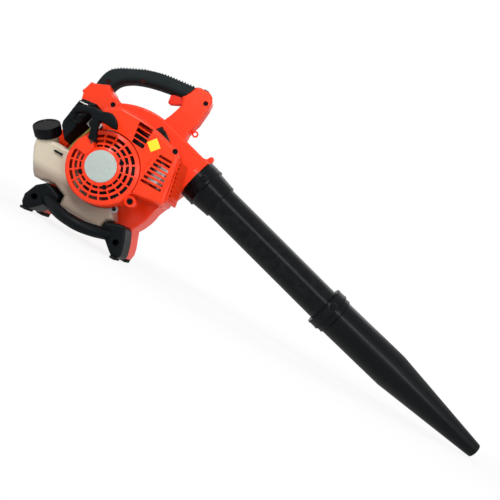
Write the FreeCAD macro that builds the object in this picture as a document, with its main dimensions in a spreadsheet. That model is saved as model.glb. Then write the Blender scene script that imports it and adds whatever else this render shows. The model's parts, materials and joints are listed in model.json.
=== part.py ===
import FreeCAD, Part
import math
import os
import re
import Sketcher

# A hand-held petrol leaf blower.  X runs forward to the nozzle, Z up, and the
# rope starter faces -Y.  Pieces are drawn in the machine's own frame: the crank
# axis is its Y axis, y = 0 is the middle plane of the fan, and the ground lies
# crank_height below it.  Every piece is then raised and moved by the same step,
# so that the finished part has its origin at the middle of its footprint.
# A depth is measured from the middle plane towards the starter, along -Y.

V = FreeCAD.Vector
doc = FreeCAD.newDocument("LeafBlower")
sheet = doc.addObject("Spreadsheet::Sheet", "Sizes")
nodes = {}

sizes = {
    # layout
    "step_x": 0, "step_y": 0, "crank_height": 136.6, "gap": 0.3, "cylinder_tilt": 17,
    # fan housing
    "housing_half": 40, "housing_wall": 2.5, "housing_round": 4, "scroll_radius": 105,
    "scroll_growth": 44, "scroll_start": -10, "outlet_offset": 113.4, "outlet_reach": 113,
    "duct_half": 35.6, "intake_radius": 55, "rim_radius": 42.5, "rim_length": 9,
    "duct_bore": 32, "post_half": 18, "heel_half": 43.4, "leg_half": 40,
    "lug_half": 7, "mould_round": 4,
    "guard_height": 11, "guard_rib": 3,
    # fan and crank train
    "fan_radius": 92, "fan_half": 25, "hub_radius": 15, "blade_thick": 2, "blade_count": 12,
    "shaft_radius": 6, "shaft_fit": 0.05, "case_radius": 42, "case_front": 86,
    "crank_depth": 63, "web_radius": 20, "web_thick": 6, "chamber_radius": 24,
    "throw": 14, "pin_radius": 5, "bearing_radius": 13, "bearing_width": 8,
    "flywheel_radius": 52, "flywheel_back": 90, "flywheel_width": 10,
    "reel_radius": 40, "reel_back": 106, "reel_width": 9, "post_radius": 7,
    # cylinder group, along the cylinder's own axis
    "deck": 46, "bore_radius": 16, "barrel_radius": 21, "fin_half": 30, "fin_depth": 21,
    "fin_thick": 2, "fin_pitch": 6.5, "fin_count": 8, "head_top": 99, "piston_height": 24,
    "piston_low": 62, "muffler_near": 58, "muffler_far": 88, "muffler_low": 40,
    "muffler_high": 90, "muffler_half": 25, "plug_lean": 20, "plug_radius": 6,
    "carb_width": 34, "carb_near": 42, "carb_far": 72, "primer_radius": 7.5, "primer_face": 96,
    "filter_back": 58, "filter_front": 116,
    # starter housing
    "drum_radius": 68.5, "drum_back": 86, "drum_face": 130, "drum_wall": 2.5,
    "cone_face": 142, "disc_radius": 29, "disc_thick": 1.5, "slot_count": 18, "first_slot": 122.6,
    "outer_slot_in": 53.5, "outer_slot_out": 59.5, "middle_slot_in": 43.8,
    "middle_slot_out": 49.3, "inner_slot_in": 35.2, "inner_slot_out": 39.6,
    "starter_screw_ring": 38, "starter_screw_radius": 3.4,
    "rope_x": -37.5, "rope_z": 38.5, "rope_radius": 1.5, "rope_lean": 25, "rope_tilt": 13.6,
    "rope_stub": 52,
    "stem_radius": 6.5, "stem_length": 30, "grip_bar": 34, "handle_depth": 141,
    # engine cover and muffler guard
    "cover_back": 44, "cover_face": 130, "cover_wall": 2.4, "cover_round": 7,
    "vent_left": 18, "vent_right": 47, "vent_low": 65, "vent_height": 8.2,
    "vent_pitch": 10.4, "vent_rake": 1.6, "grille_low": 12.9, "grille_height": 5,
    "grille_pitch": 9, "grille_left": 70.8, "grille_right": 112.6,
    "guard_thick": 2, "guard_slot": 4.6, "guard_hole": 2.6,
    # tank
    "tank_back": 46, "tank_front": 98, "tank_wall": 2.5, "tank_round": 8,
    "filler_x": -131, "filler_depth": 84, "filler_z": 6.4, "neck_radius": 17,
    "cap_radius": 25, "cap_height": 19, "cap_lean": 29.6,
    "cap_turn": 38, "line_radius": 2.5,
    # stand and feet
    "stand_front": 105, "stand_round": 5, "bow_radius": 11.5, "foot_height": 8,
    # tubes, along their own axis
    "collar_radius": 43.3, "collar_bore": 34.3, "pipe_radius": 34.3, "pipe_wall": 2.2,
    "pipe_length": 400, "pipe_slope": 15.35, "nozzle_lift": 1.05, "coupling_start": 357,
    "coupling_radius": 43.2, "sleeve_radius": 38.6, "tip_radius": 16.8,
    "taper_start": 545, "nozzle_end": 775, "nozzle_wall": 2.2, "tip_land": 12,
    "collar_shoulder": 28, "collar_tail": 67,
    # handle
    "grip_half": 16.5, "grip_round": 11, "trigger_half": 7, "trigger_pin": 2.5,
    "trigger_x": 46, "trigger_z": 205.4, "choke_x": -99, "choke_z": 27.4,
    "ring_x": 91.5, "ring_z": 155.4, "ring_radius": 6.6, "ring_bore": 3.4, "ring_half": 1.6,
    # screws and their recesses
    "screw_radius": 3.6, "recess_radius": 5, "recess_depth": 3,
    "post_screw_x": 83, "post_screw_z": 215.5, "heel_screw_x": -66.8, "heel_screw_z": 120,
    "front_screw_x": 82, "rear_screw_x": -90, "stand_screw_height": 30,
    "rear_grip_screw_x": -106, "rear_grip_screw_z": 158.9,
    "front_grip_screw_x": -46.4, "front_grip_screw_z": 193.6,
    "tank_bolt_x": 48.5, "tank_bolt_z": -54.5,
}

# Outlines, each a closed chain of corners (x, z).  Heights are from the crank
# axis, apart from the corners marked as standing on the ground.
ground = "ground"
outlines = {
    "leg": [(60, -70.6), (83, -66.6), (90, 50, ground), (96, 34, ground), (99, 20, ground),
            (97, 8, ground), (83, 8, ground), (80, 22, ground), (70, 42, ground)],
    "hindleg": [(-69, -70.6), (-92, -66.6), (-99, 50, ground), (-105, 34, ground),
                (-108, 20, ground), (-106, 8, ground), (-92, 8, ground), (-89, 22, ground),
                (-79, 42, ground)],
    "heel": [(-126, 99.4), (-131, 119.4), (-125.5, 138.4), (-119, 138.9), (-105, 144.4),
             (-92, 150.4), (-86, 144.4), (-78, 138.4), (-60, 133.4), (-50, 103.4), (-95, 68.4)],
    "post": [(20, 123.4), (28, 149.4), (33, 160.4), (38, 174.4), (42.5, 189.4), (40, 199.4),
             (35, 204.9), (40, 210.4), (46, 221.4), (51, 235.4), (58, 238.4), (80, 238.4),
             (88, 233.4), (92.5, 224.4), (93, 208.4), (90, 175.4), (86, 163.4), (82, 148.4),
             (84, 125.4)],
    "cover": [(-53, 95.4), (-30, 109.4), (-20, 113.4), (22, 113.4), (60, 106.4), (100, 95.4),
              (111, 84.4), (128, 0.4), (124, -5.6), (60, -15.6), (0, -16.6), (-36, 13.4),
              (-36, 63.4), (-47, 74.4)],
    "tank": [(-144, -12.6), (-141, -26.6), (-134, -41.6), (-127, -54.6), (-120, -66.6),
             (-113, -74.6), (-98, -74.6), (-86, -69.6), (-72, -69.6), (-47, -79.6), (-46, -100.6),
             (43, -100.6), (44, -81.6), (56, -73.6), (44, -52.6), (-30, -46.6), (-70, 1.4),
             (-132, 1.4)],
    "cavity": [(-138, -14.6), (-136, -26.6), (-129, -40.6), (-122, -53.6), (-114, -66.6),
               (-82, -65.6), (-46, -77.6), (-42, -96.6), (39, -96.6), (39, -76.6), (-34, -76.6),
               (-72, -44.6), (-88, -4.6)],
    "frontleg": [(45, 53, ground), (60, 59, ground), (70, -73.6), (80, -72.1), (86, -76.6),
                 (95, 40, ground), (101, 20, ground), (102, 12, ground), (98, 5, ground),
                 (85, 5, ground), (78, 10, ground), (62, 24, ground), (45, 30, ground)],
    "rearleg": [(-50, 46, ground), (-51, 53, ground), (-73, -74.1), (-82, -72.6),
                (-99, 50, ground), (-109, 26, ground), (-107, 12, ground), (-102, 5, ground),
                (-90, 5, ground), (-81, 13, ground), (-70, 24, ground), (-53, 28, ground)],
    "filter": [(-109, 39.4), (-102, 86.4), (-96, 93.4), (-70, 96.4), (-75.5, 74.4), (-79.5, 53.4),
               (-85, 29.4), (-90, 10.4), (-107, 31.4)],
    "filter_room": [(-105, 43.4), (-98.5, 84.4), (-78, 89.4), (-81, 69.4), (-85.5, 43.4)],
    "filter_pad": [(-102.5, 47.4), (-96.5, 81.4), (-81, 85.4), (-83.5, 68.4), (-88, 47.4)],
    "trigger": [(12, 199.4), (14, 183.4), (20, 182.4), (39, 191.4), (46, 195.4), (52, 203.4),
                (46, 213.4), (30, 207.4)],
    # the grip's top and bottom lines are smooth curves, its ends are straight
    "grip_top": [(-128, 139.4), (-125, 163.4), (-117.5, 181.4), (-100, 195.4), (-76, 207.4),
                 (-57, 216.4), (-15, 227.9), (22, 232.4), (51, 235.9)],
    "grip_under": [(34.7, 204.4), (0, 199.4), (-40, 190.4), (-72, 176.4), (-86, 163.4),
                   (-91, 149.9)],
    "grip_front": [(45.5, 221.4), (39.5, 210.4)],
    "grip_rear": [(-105, 144.7), (-119, 139.4)],
}


def fillSheet():
    """Write every size and every outline corner into the sheet as a named cell."""
    cells = dict(sizes)
    for name, corners in outlines.items():
        for number, (x, z, *standing) in enumerate(corners, 1):
            cells["%s_%d_x" % (name, number)] = x
            cells["%s_%d_z" % (name, number)] = "=%g - crank_height" % z if standing else z
    for row, (alias, value) in enumerate(cells.items(), 1):
        sheet.set("A%d" % row, alias)
        sheet.set("B%d" % row, str(value))
        sheet.setAlias("B%d" % row, alias)
    doc.recompute()
    return cells


known = fillSheet()


def linked(text):
    """An expression in plain cell names, with the sheet's name put before each."""
    return re.sub(r"[A-Za-z_]\w*", lambda m: "Sizes." + m[0] if m[0] in known else m[0], text)


def get(text):
    """The number that an expression in cell names gives."""
    return float(sheet.evalExpression(linked(text)))


def bind(item, **expressions):
    for prop, text in expressions.items():
        item.setExpression(prop.replace("__", "."), linked(text))


def corners(name):
    """Expression pairs for an outline's corners."""
    return [("%s_%d_x" % (name, i), "%s_%d_z" % (name, i))
            for i in range(1, len(outlines[name]) + 1)]


# Frames: where a piece's own origin lies in the machine, and how far it is
# turned about Y.  The tubes' X axis runs along the tube.
pipeX = "outlet_offset * sin(pipe_slope) + outlet_reach * cos(pipe_slope)"
pipeZ = "outlet_offset * cos(pipe_slope) - outlet_reach * sin(pipe_slope)"
frames = {
    "machine": ("0", "0", "0"),
    "cylinder": ("0", "0", "cylinder_tilt"),
    "pipe": (pipeX, pipeZ, "pipe_slope"),
    "nozzle": (pipeX + " + (coupling_start + 22) * cos(pipe_slope)",
               pipeZ + " - (coupling_start + 22) * sin(pipe_slope)",
               "pipe_slope - nozzle_lift"),
}


def place(item, frame):
    x, z, turn = frames[frame]
    if turn != "0":
        item.Placement = FreeCAD.Placement(V(), FreeCAD.Rotation(V(0, 1, 0), get(turn)))
        bind(item, Placement__Rotation__Angle=turn)
    bind(item, Placement__Base__x="step_x + " + x, Placement__Base__y="step_y",
         Placement__Base__z="crank_height + " + z)


def node(name, item, frame=None):
    item.Label = name
    nodes[name] = item
    if frame:
        place(item, frame)
    return item


def body(name, frame="machine"):
    piece = doc.addObject("PartDesign::Body", "Body_" + name)
    if frame is None:
        piece.Label = name
        return piece
    return node(name, piece, frame)


def attach(piece, plane, depth):
    sketch = piece.newObject("Sketcher::SketchObject", "Sketch")
    origin = [f for f in piece.Origin.OriginFeatures if f.Role == plane + "_Plane"][0]
    sketch.AttachmentSupport = [(origin, "")]
    sketch.MapMode = "FlatFace"
    bind(sketch, AttachmentOffset__Base__z=depth)
    return sketch


def pin(sketch, kind, index, point, text):
    number = sketch.addConstraint(Sketcher.Constraint(kind, -1, 1, index, point, get(text)))
    sketch.setExpression("Constraints[%d]" % number, linked(text))


def draw(sketch, *loops):
    """Closed loops of straight lines, with every corner bound to the sheet."""
    for loop in loops:
        first = sketch.GeometryCount
        spots = [V(get(a), get(b), 0) for a, b in loop]
        count = len(loop)
        for i in range(count):
            sketch.addGeometry(Part.LineSegment(spots[i], spots[(i + 1) % count]), False)
        for i in range(count):
            follower = first + (i + 1) % count
            sketch.addConstraint(Sketcher.Constraint("Coincident", first + i, 2, follower, 1))
            pin(sketch, "DistanceX", first + i, 1, loop[i][0])
            pin(sketch, "DistanceY", first + i, 1, loop[i][1])
    return sketch


def circles(sketch, radius, *centres):
    for x, y in centres:
        spot = V(get(x), get(y), 0)
        index = sketch.addGeometry(Part.Circle(spot, V(0, 0, 1), get(radius)), False)
        pin(sketch, "DistanceX", index, 3, x)
        pin(sketch, "DistanceY", index, 3, y)
        number = sketch.addConstraint(Sketcher.Constraint("Radius", index, get(radius)))
        sketch.setExpression("Constraints[%d]" % number, linked(radius))
    return sketch


def feature(piece, kind, sketch, **expressions):
    made = piece.newObject("PartDesign::" + kind, kind)
    made.Profile = sketch
    bind(made, **expressions)
    return made


def pad(piece, loops, back, front, plane="XZ"):
    sketch = draw(attach(piece, plane, back), *loops)
    return feature(piece, "Pad", sketch, Length="(%s) - (%s)" % (front, back))


def roundPad(piece, radius, back, front, centres=(("0", "0"),), plane="XZ"):
    sketch = circles(attach(piece, plane, back), radius, *centres)
    return feature(piece, "Pad", sketch, Length="(%s) - (%s)" % (front, back))


def cut(piece, sketch, back, front):
    """A pocket from one depth to another: it runs back from the sketch's plane."""
    bind(sketch, AttachmentOffset__Base__z=front)
    return feature(piece, "Pocket", sketch, Length="(%s) - (%s)" % (front, back))


def cutLoops(piece, loops, back, front, plane="XZ"):
    return cut(piece, draw(attach(piece, plane, front), *loops), back, front)


def cutRound(piece, radius, back, front, centres=(("0", "0"),), plane="XZ"):
    return cut(piece, circles(attach(piece, plane, front), radius, *centres), back, front)


def turned(piece, profile, axis="V_Axis", plane="XZ", kind="Revolution"):
    """Turn a closed profile about one of its sketch's own axes."""
    sketch = draw(attach(piece, plane, "0"), profile)
    made = feature(piece, kind, sketch)
    made.ReferenceAxis = (sketch, [axis])
    made.Angle = 360
    return made


def rounded(piece, radius, chosen):
    """Round the edges of the piece so far that the test picks."""
    doc.recompute()
    base = piece.Tip
    names = ["Edge%d" % (i + 1) for i, edge in enumerate(base.Shape.Edges) if chosen(edge)]
    made = piece.newObject("PartDesign::Fillet", "Fillet")
    made.Base = (base, names)
    bind(made, Radius=radius)
    return made


def repeated(piece, original, sketch, axis, count, angle):
    doc.recompute()
    pattern = piece.newObject("PartDesign::PolarPattern", "PolarPattern")
    pattern.Originals = [original]
    pattern.Axis = (sketch, [axis])
    bind(pattern, Angle=angle, Occurrences=count)
    piece.Tip = pattern
    return pattern


def box(x1, x2, z1, z2):
    return [(x1, z1), (x2, z1), (x2, z2), (x1, z2)]


def at(depth):
    """Test for edges that lie wholly at one depth."""
    y = -get(depth)
    return lambda edge: max(abs(v.Point.y - y) for v in edge.Vertexes) < 1e-3


def solidAt(name, shape, frame="machine"):
    """A piece whose shape is made by Part's own functions."""
    piece = doc.addObject("Part::Feature", "Shape_" + name)
    piece.Shape = shape
    return node(name, piece, frame)


# ---- fan housing ----

def scrollPoint(turnDegrees, inset):
    """A point of the volute, so many degrees clockwise of its tongue."""
    full = get("360 - (90 - pipe_slope) + scroll_start")
    radius = get("scroll_radius + scroll_growth * %f" % (turnDegrees / full)) - inset
    angle = math.radians(get("scroll_start") - turnDegrees)
    return V(radius * math.cos(angle), 0, radius * math.sin(angle))


def alongDuct(reach, offset):
    """A point given along and across the duct, from the crank axis."""
    slope = math.radians(get("pipe_slope"))
    x = offset * math.sin(slope) + reach * math.cos(slope)
    z = offset * math.cos(slope) - reach * math.sin(slope)
    return V(x, 0, z)


def voluteFace(inset):
    full = get("360 - (90 - pipe_slope) + scroll_start")
    spots = [scrollPoint(full * i / 16, inset) for i in range(17)]
    edges = [Part.Arc(*spots[i:i + 3]).toShape() for i in range(0, 16, 2)]
    reach = get("outlet_reach")
    duct = get("outlet_offset")
    half = get("duct_half") - inset
    run = [spots[-1], alongDuct(reach, duct + half), alongDuct(reach, duct - half), spots[0]]
    edges += [Part.LineSegment(a, b).toShape() for a, b in zip(run, run[1:])]
    return Part.Face(Part.Wire(edges))


def flatFace(name):
    spots = [V(x, 0, z) for x, z in ((get(a), get(b)) for a, b in corners(name))]
    return Part.Face(Part.makePolygon(spots + [spots[0]]))


def outerEdges(shape, y, skip=None):
    picked = []
    for edge in shape.Edges:
        flat = max(abs(v.Point.y - y) for v in edge.Vertexes) < 1e-3
        if flat and not (skip and skip(edge)):
            picked.append(edge)
    return picked


def shellHalf(face, inner, side, depth, wall, radius, skip=None):
    """One half of a moulding: open at the middle plane, rounded at its far side."""
    outer = face.extrude(V(0, side * depth, 0))
    outer = outer.makeFillet(radius, outerEdges(outer, side * depth, skip))
    room = inner.extrude(V(0, side * (depth - wall), 0))
    edges = outerEdges(room, side * (depth - wall), skip)
    return outer, room.makeFillet(max(radius - wall, 0.2), edges)


def atOutlet(edge):
    """The outlet's own edge, and the short one from it back to the tongue."""
    low = alongDuct(get("outlet_reach"), get("outlet_offset") - get("duct_half"))
    return edge.CenterOfMass.x > low.x - 40 and edge.Length < 80


# The latch lug on the duct's mouth: places along the duct from its mouth, and
# heights over the rim.
lugProfile = [(-22, -8), (-19, -4.5), (-13, -1.5), (-10.5, 7.5), (-7, 10), (-3, 9),
              (-1.5, 4.5), (0, 0.5), (0, -8)]


def tubeAlong(axisStart, direction, radius, length):
    return Part.makeCylinder(radius, length, axisStart, direction)


def housingHalf(name, side):
    wall = get("housing_wall")
    half = get("housing_half")
    volute, room = shellHalf(voluteFace(0), voluteFace(wall), side, half, wall,
                             get("housing_round"), atOutlet)
    blocks = [("leg", "leg_half"), ("hindleg", "leg_half"), ("heel", "heel_half"),
              ("post", "post_half")]
    parts = []
    for outline, depth in blocks:
        face = flatFace(outline)
        hollow = face.makeOffset2D(-wall)
        skin, inside = shellHalf(face, hollow, side, get(depth), wall, get("mould_round"))
        parts.append(skin.cut(inside).cut(volute))
    whole = volute.cut(room)
    slope = math.radians(get("pipe_slope"))
    along = V(math.cos(slope), 0, -math.sin(slope))
    reach = get("outlet_reach")
    offset = get("outlet_offset")
    rim = tubeAlong(alongDuct(reach - get("rim_length"), offset), along, get("rim_radius"),
                    get("rim_length"))
    keep = Part.makeBox(2 * reach, 2 * half, 4 * offset,
                        V(0, 0 if side > 0 else -2 * half, -2 * offset))
    whole = whole.fuse([rim.common(keep)] + parts)
    whole = whole.cut(tubeAlong(alongDuct(reach - 30, offset), along, get("duct_bore"), 31))
    hole = get("intake_radius") if side > 0 else get("hub_radius") + 2
    centre = V(0, side * (half - 2 * wall), 0)
    whole = whole.cut(Part.makeCylinder(hole, 4 * wall, centre, V(0, side, 0)))
    spots = [alongDuct(reach + s, offset + get("rim_radius") + rise) for s, rise in lugProfile]
    lug = Part.Face(Part.makePolygon(spots + [spots[0]]))
    whole = whole.fuse(lug.extrude(V(0, side * get("lug_half"), 0)))
    whole = whole.cut([triggerRoom(), screwHoles()])
    return solidAt(name, whole.removeSplitter())


def triggerRoom():
    """The slot through the grip's underside and the post where the trigger swings."""
    half = get("trigger_half + 2 * gap")
    length = get("trigger_6_x - trigger_1_x") + 10
    height = get("trigger_7_z - trigger_3_z") + 5
    return Part.makeBox(length, 2 * half, height,
                        V(get("trigger_1_x") - 3, -half, get("trigger_3_z") - 1))


def recesses(spots, length):
    """A wide recess and a narrower bore behind it, for each screw on the near side."""
    deep = get("recess_depth")
    bores = []
    for x, z, depth in spots:
        bores.append(Part.makeCylinder(get("recess_radius"), deep + 1, V(x, -depth - 1, z),
                                       V(0, 1, 0)))
        bores.append(Part.makeCylinder(get("screw_radius"), length, V(x, -depth - 1, z),
                                       V(0, 1, 0)))
    return bores[0].fuse(bores[1:])


def screwHoles():
    """The handle's recessed screws and the bores that take the stand's screws."""
    bores = [Part.makeCylinder(get("screw_radius"), 30, V(x, -depth - 1, z), V(0, 1, 0))
             for x, z, depth in standScrewSpots()]
    return recesses(handleScrewSpots(), 30).fuse(bores)


def handleScrewSpots():
    return [(get("post_screw_x"), get("post_screw_z"), get("post_half")),
            (get("heel_screw_x"), get("heel_screw_z"), get("heel_half"))]


def standScrewSpots():
    height = get("stand_screw_height - crank_height")
    return [(get("front_screw_x"), height, get("leg_half")),
            (get("rear_screw_x"), height, get("leg_half"))]


def intakeGuard():
    piece = body("intake_guard")
    turned(piece, box("intake_radius - 2", "intake_radius + 7",
                      "housing_half", "housing_half + guard_height"), "V_Axis", "XY")
    for ring in range(1, 5):
        middle = "intake_radius * %d / 5" % ring
        turned(piece, box(middle + " - 1.2", middle + " + 1.2",
                          "housing_half + guard_height - guard_rib",
                          "housing_half + guard_height"), "V_Axis", "XY")
    spoke = pad(piece, [box("5", "intake_radius", "-1.5", "1.5")],
                "-(housing_half + guard_height)",
                "-(housing_half + guard_height - guard_rib)")
    hub = roundPad(piece, "9", "-(housing_half + guard_height)",
                   "-(housing_half + guard_height - guard_rib)")
    repeated(piece, spoke, hub.Profile[0], "N_Axis", "8", "360")


def fanImpeller():
    piece = body("fan_impeller")
    turned(piece, [("shaft_radius", "-fan_half"), ("fan_radius", "-fan_half"),
                   ("fan_radius", "-fan_half + 3"), ("hub_radius", "-fan_half + 3"),
                   ("hub_radius", "fan_half"), ("shaft_radius", "fan_half")], "V_Axis", "XY")
    sweep = "fan_radius * 0.22"
    blade = pad(piece, [[("hub_radius - 1", "-blade_thick / 2"),
                         ("fan_radius", "-%s - blade_thick / 2" % sweep),
                         ("fan_radius", "-%s + blade_thick / 2" % sweep),
                         ("hub_radius - 1", "blade_thick / 2")]],
                "-fan_half", "fan_half - 1")
    repeated(piece, blade, blade.Profile[0], "N_Axis", "blade_count", "360")


# ---- engine ----

def crankcase():
    piece = body("crankcase", "cylinder")
    roundPad(piece, "case_radius", "housing_half", "case_front")
    pad(piece, [box("-fin_half + 3", "fin_half - 3", "0", "deck")],
        "crank_depth - fin_depth", "crank_depth + fin_depth")
    cutRound(piece, "chamber_radius", "crank_depth - 12", "crank_depth + 12")
    cutRound(piece, "bearing_radius", "crank_depth - 12 - bearing_width",
             "crank_depth + 12 + bearing_width")
    cutRound(piece, "shaft_radius + 1", "housing_half - 1", "case_front + 1")
    cutRound(piece, "bore_radius + 0.2", "0", "deck + 1", [("0", "-crank_depth")], "XY")


def mainBearings():
    for name, back in (("bearing_far", "crank_depth - 12 - bearing_width"),
                       ("bearing_near", "crank_depth + 12")):
        piece = body(name)
        roundPad(piece, "bearing_radius", back, back + " + bearing_width")
        cutRound(piece, "shaft_radius + shaft_fit", back + " - 1", back + " + bearing_width + 1")


def crankshaft():
    piece = body("crankshaft")
    roundPad(piece, "shaft_radius", "-fan_half - 6", "crank_depth - web_thick - 3")
    roundPad(piece, "shaft_radius", "crank_depth + web_thick + 3", "reel_back - 4")
    for back in ("crank_depth - web_thick - 4", "crank_depth + 4"):
        pad(piece, [[("-6", "throw + 7"), ("-12", "0"), ("-web_radius + 3", "-9"),
                     ("-9", "-web_radius + 3"), ("9", "-web_radius + 3"),
                     ("web_radius - 3", "-9"), ("12", "0"), ("6", "throw + 7")]],
            back, back + " + web_thick")
    roundPad(piece, "pin_radius", "crank_depth - 5", "crank_depth + 5", [("0", "throw")])


def flywheel():
    piece = body("flywheel")
    front = "flywheel_back + flywheel_width"
    roundPad(piece, "flywheel_radius", "flywheel_back", "flywheel_back + 4")
    roundPad(piece, "16", "flywheel_back", front)
    rib = pad(piece, [box("14", "flywheel_radius - 2", "-1.2", "1.2")],
              "flywheel_back + 2", front + " - 1")
    repeated(piece, rib, rib.Profile[0], "N_Axis", "16", "360")
    cutRound(piece, "shaft_radius", "flywheel_back - 1", front + " + 1")


def cylinder():
    piece = body("cylinder", "cylinder")
    spot = [("0", "-crank_depth")]
    roundPad(piece, "barrel_radius", "deck", "head_top", spot, "XY")
    first = "deck + 4"
    fin = pad(piece, [box("-fin_half", "fin_half", "-crank_depth - fin_depth",
                          "-crank_depth + fin_depth")], first, first + " + fin_thick", "XY")
    doc.recompute()
    pattern = piece.newObject("PartDesign::LinearPattern", "LinearPattern")
    pattern.Originals = [fin]
    pattern.Direction = (fin.Profile[0], ["N_Axis"])
    bind(pattern, Length="fin_pitch * (fin_count - 1)", Occurrences="fin_count")
    piece.Tip = pattern
    pad(piece, [box("0", "muffler_near", "60", "78")],
        "crank_depth - 10", "crank_depth + 10")
    pad(piece, [box("-carb_near + 5", "0", "60", "78")], "crank_depth - 10", "crank_depth + 10")
    cutRound(piece, "bore_radius", "deck - 1", "head_top - 6", spot, "XY")
    cutRound(piece, "plug_radius - 1", "head_top - 7", "head_top + 1", spot, "XY")


def pistonAndRod():
    piece = body("piston", "cylinder")
    spot = [("0", "-crank_depth")]
    roundPad(piece, "bore_radius - gap", "piston_low", "piston_low + piston_height", spot, "XY")
    cutRound(piece, "bore_radius - gap - 3", "piston_low - 1", "piston_low + piston_height - 5",
             spot, "XY")
    rod = body("connecting_rod", "cylinder")
    pad(rod, [box("-4", "4", "throw + pin_radius + 4", "piston_low + piston_height - 5.5")],
        "crank_depth - 3", "crank_depth + 3")


def sparkPlug():
    """The plug and its boot lean further than the cylinder, out of the head."""
    lean = "cylinder_tilt + plug_lean"
    frames["plug"] = ("head_top * sin(cylinder_tilt)", "head_top * cos(cylinder_tilt)", lean)
    plug = body("spark_plug", "plug")
    spot = [("0", "-crank_depth")]
    roundPad(plug, "plug_radius + 3", "3", "9", spot, "XY")
    roundPad(plug, "plug_radius - 2", "9", "26", spot, "XY")
    boot = body("plug_boot", "plug")
    roundPad(boot, "plug_radius + 3.5", "12", "34", spot, "XY")
    roundPad(boot, "plug_radius + 1", "0", "24", [("-crank_depth", "29")], "YZ")
    cutRound(boot, "plug_radius - 2 + gap", "11", "27", spot, "XY")


def muffler():
    piece = body("muffler", "cylinder")
    pad(piece, [box("muffler_near", "muffler_far", "muffler_low", "muffler_high")],
        "crank_depth - muffler_half + 8", "crank_depth + muffler_half + 14")
    rounded(piece, "7", lambda edge: True)
    cutLoops(piece, [box("muffler_near + 1.5", "muffler_far - 1.5", "muffler_low + 1.5",
                         "muffler_high - 1.5")],
             "crank_depth - muffler_half + 12", "crank_depth + muffler_half + 10")


def carburettor():
    block = body("intake_block", "cylinder")
    pad(block, [box("-carb_near", "-carb_near + 5", "56", "82")], "crank_depth - 14",
        "crank_depth + 14")
    piece = body("carburettor", "cylinder")
    pad(piece, [box("-carb_far", "-carb_near", "69 - carb_width / 2", "69 + carb_width / 2")],
        "crank_depth - 16", "crank_depth + 20")
    rounded(piece, "3", at("crank_depth + 20"))
    pad(piece, [box("-carb_far - 17", "-carb_far + 6", "33", "70 - carb_width / 2")],
        "crank_depth - 3", "primer_face")
    cutRound(piece, "8", "-carb_far - 1", "-carb_near + 1", [("-crank_depth", "69")], "YZ")
    spot = [("-carb_far - 8", "42")]
    cutRound(piece, "primer_radius + gap", "primer_face - 8", "primer_face + 1", spot)
    bulb = body("primer_bulb", "cylinder")
    roundPad(bulb, "primer_radius", "primer_face - 1", "primer_face + 8", spot)
    rounded(bulb, "primer_radius - 1.5", at("primer_face + 8"))


def airFilter():
    """A black cup over the filter, open towards the fan housing."""
    cover = body("air_filter_cover")
    pad(cover, [corners("filter")], "filter_back", "filter_front")
    rounded(cover, "3.5", at("filter_front"))
    cutLoops(cover, [corners("filter_room")], "filter_back - 1", "filter_front - 4")
    element = body("filter_element")
    pad(element, [corners("filter_pad")], "filter_back", "filter_front - 6")
    base = body("filter_base")
    pad(base, [corners("filter")], "filter_back - 3", "filter_back")


def ignitionCoil():
    piece = body("ignition_coil", "cylinder")
    pad(piece, [box("-12", "12", "flywheel_radius + 1", "drum_radius - drum_wall - 4")],
        "crank_depth + fin_depth", "flywheel_back + 12")
    rounded(piece, "2", at("flywheel_back + 12"))


# ---- recoil starter ----

def starterHousing():
    piece = body("starter_drum", None)
    turned(piece, [("drum_radius", "-drum_back"), ("drum_radius", "-drum_face + 5"),
                   ("drum_radius - 2", "-drum_face + 1.5"), ("drum_radius - 6", "-drum_face"),
                   ("disc_radius + 2", "-cone_face"), ("0", "-cone_face"),
                   ("0", "-cone_face + drum_wall"), ("disc_radius + 1", "-cone_face + drum_wall"),
                   ("drum_radius - 7", "-drum_face + drum_wall"),
                   ("drum_radius - drum_wall", "-drum_face + 6"),
                   ("drum_radius - drum_wall", "-drum_back")], "V_Axis", "XY")
    guide = [("-26.5", "20"), ("-33", "40"), ("-50", "34"), ("-60", "22"), ("-57", "8"),
             ("-33.5", "4")]
    pad(piece, [guide], "drum_face - 1", "cone_face + 2")
    rounded(piece, "2.5", at("cone_face + 2"))
    ring = "starter_screw_ring"
    spots = [(ring + " * cos(%g)" % a, ring + " * sin(%g)" % a) for a in (38, -51, 222.6)]
    pillar_back = "reel_back + reel_width + 2"
    roundPad(piece, "starter_screw_radius + 2.5", pillar_back, "cone_face - 5", spots)
    roundPad(piece, "post_radius", "reel_back - 2", "cone_face - drum_wall + 1")
    cutRound(piece, "starter_screw_radius", pillar_back + " + 3", "cone_face + 5", spots)
    piece.Placement = FreeCAD.Placement()
    slots = doc.addObject("Part::Feature", "Slots")
    slots.Shape = slotRings()
    whole = doc.addObject("Part::Cut", "SlottedHousing")
    whole.Base = piece
    whole.Tool = slots
    node("starter_housing", whole, "machine")
    fasteners = body("starter_screws")
    fasteners.AllowCompound = True
    roundPad(fasteners, "starter_screw_radius - 0.05", pillar_back + " + 3",
             pillar_back + " + 9", spots)


def slotRings():
    """Three rings of slots, left out where the rope guide stands."""
    step = 360 / get("slot_count")
    back = get("drum_face") - 5
    prisms = []
    for ring in ("outer", "middle", "inner"):
        inner = get(ring + "_slot_in")
        outer = get(ring + "_slot_out")
        for i in range(int(get("slot_count")) - 2):
            start = get("first_slot") - i * step - step * 0.42
            sector = Part.makeCylinder(outer, 20, V(), V(0, 0, 1), step * 0.84)
            sector = sector.cut(Part.makeCylinder(inner, 20))
            sector.rotate(V(), V(0, 0, 1), start)
            sector.rotate(V(), V(1, 0, 0), 90)
            sector.translate(V(0, -back, 0))
            prisms.append(sector)
    return Part.makeCompound(prisms + [ropeChannel()])


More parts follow.
